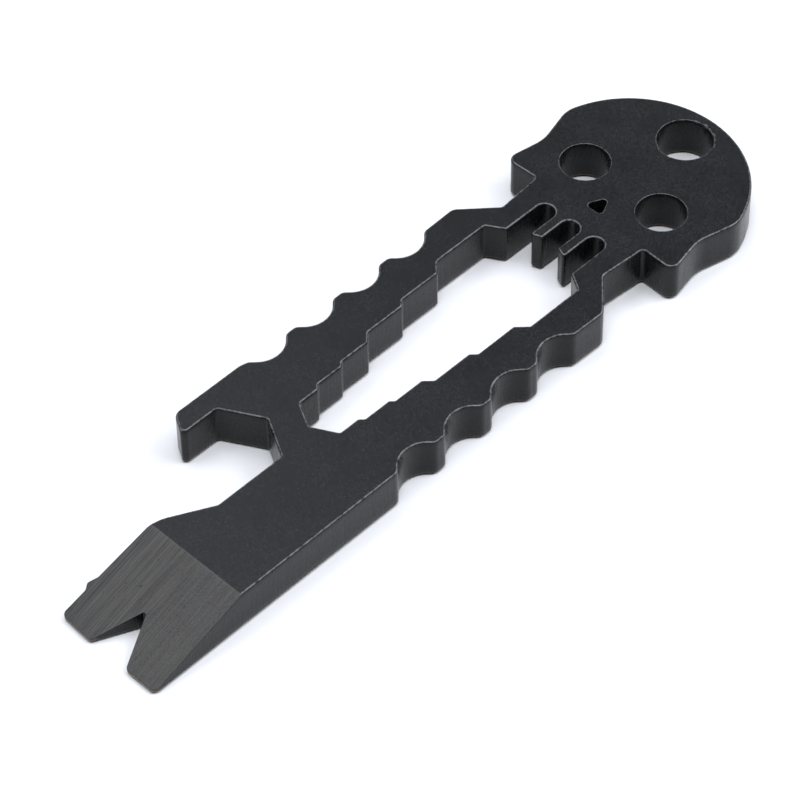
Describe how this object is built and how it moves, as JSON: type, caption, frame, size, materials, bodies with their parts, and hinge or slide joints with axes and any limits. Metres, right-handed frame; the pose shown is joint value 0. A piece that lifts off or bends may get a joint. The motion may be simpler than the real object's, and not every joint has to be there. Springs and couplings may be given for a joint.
{
  "type": "keychain bottle opener",
  "caption": "Flat black steel pocket tool with a bottle opener hook, a stepped wrench window, a notched pry tip and a ring hole in its head.",
  "frame": {"origin": "middle of the tool's length and width, on the plane of its flat back face, which it lies on", "axes": "+X from the pry tip towards the head with the ring hole, +Y towards the side with the bottle opener hook, +Z out of the front face, where the pry tip is ground"},
  "size_m": [0.0772, 0.0204, 0.004],
  "materials": {
    "black_coated_steel": "satin black coating over steel plate, with cut walls and a ground pry tip"
  },
  "bodies": {
    "root": {"tool_body": "black_coated_steel"}
  },
  "joints": []
}
